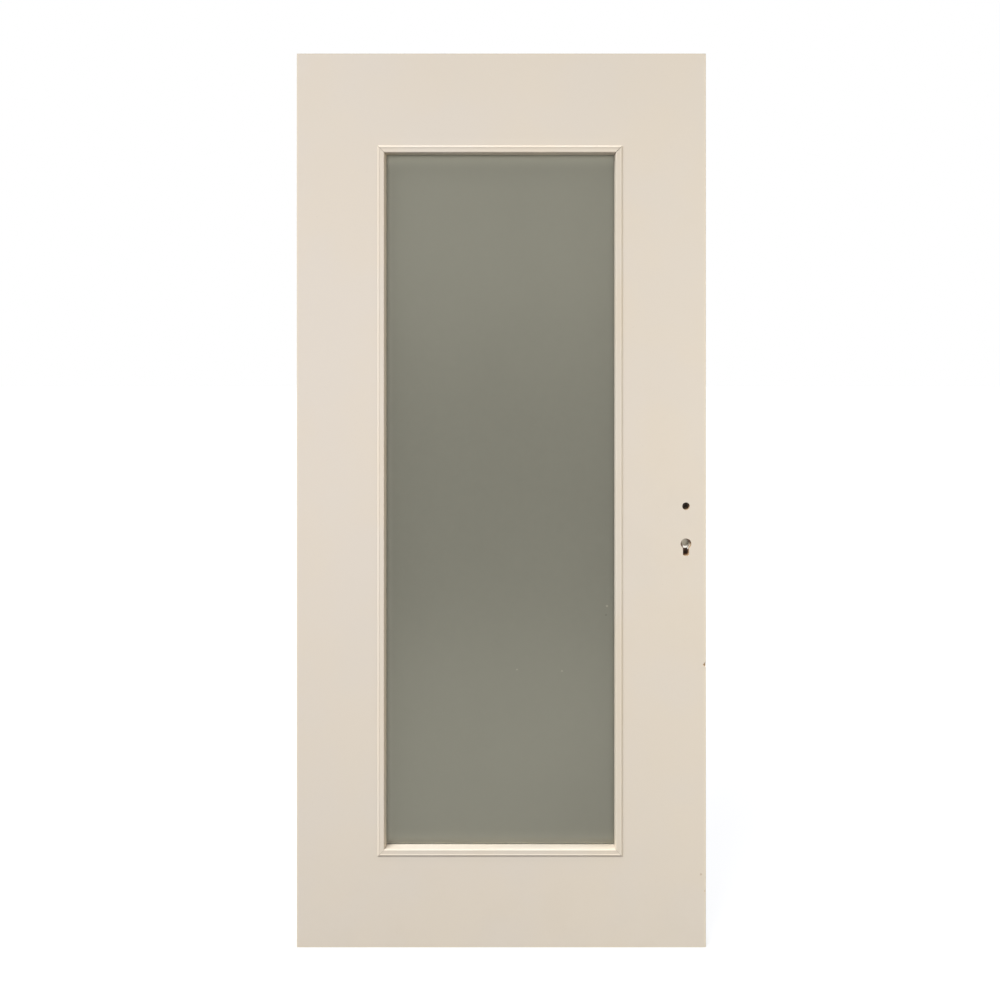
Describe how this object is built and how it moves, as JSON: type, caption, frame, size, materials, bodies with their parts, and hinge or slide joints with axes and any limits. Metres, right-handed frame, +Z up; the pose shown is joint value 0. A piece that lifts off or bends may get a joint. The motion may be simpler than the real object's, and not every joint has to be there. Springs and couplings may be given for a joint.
{
  "type": "wood-plastic composite door",
  "caption": "Glazed interior door leaf in cream wood-plastic composite: tall satin pane behind mitred beads, mortise lock with spindle hole and profile keyhole.",
  "frame": {"origin": "on the flat hinge edge, at the leaf's bottom and mid thickness", "axes": "+X across the leaf from the hinge edge to the lock edge, +Y from the front face to the back face, +Z up"},
  "size_m": [0.925, 0.046, 2.02],
  "materials": {
    "cream_film": "satin cream decor film",
    "edge_band": "satin cream edge strip",
    "glazing_bead": "satin cream foil on an extruded bead",
    "composite_core": "raw cut wood-plastic composite",
    "satin_glass": "satin etched, cloudy grey",
    "glazing_tape": "matt foam tape",
    "setting_block": "hard plastic",
    "plated_steel": "zinc plated pressing",
    "forend_steel": "brushed",
    "bolt_nickel": "nickel plated casting",
    "screw_steel": "bright plated"
  },
  "bodies": {
    "root": {"front_skin": "cream_film", "back_skin": "cream_film", "hinge_stile": "composite_core", "lock_stile_upper": "composite_core", "lock_stile_lower": "composite_core", "lock_block": "composite_core", "top_rail": "composite_core", "bottom_rail": "composite_core", "hinge_edge_band": "edge_band", "lock_edge_band_upper": "edge_band", "lock_edge_band_lower": "edge_band", "lock_edge_band_front": "edge_band", "lock_edge_band_back": "edge_band", "top_cap": "edge_band", "bottom_cap": "edge_band", "front_bead_top": "glazing_bead", "front_bead_bottom": "glazing_bead", "front_bead_hinge_side": "glazing_bead", "front_bead_lock_side": "glazing_bead", "back_bead_top": "glazing_bead", "back_bead_bottom": "glazing_bead", "back_bead_hinge_side": "glazing_bead", "back_bead_lock_side": "glazing_bead", "glass_pane": "satin_glass", "front_glazing_tape": "glazing_tape", "back_glazing_tape": "glazing_tape", "setting_block_hinge_side": "setting_block", "setting_block_lock_side": "setting_block", "lock_case": "plated_steel", "lock_cover": "plated_steel", "lock_forend": "forend_steel", "spindle_follower": "plated_steel", "latch_bolt": "bolt_nickel", "dead_bolt": "bolt_nickel", "forend_screw_upper": "screw_steel", "forend_screw_lower": "screw_steel"}
  },
  "joints": []
}
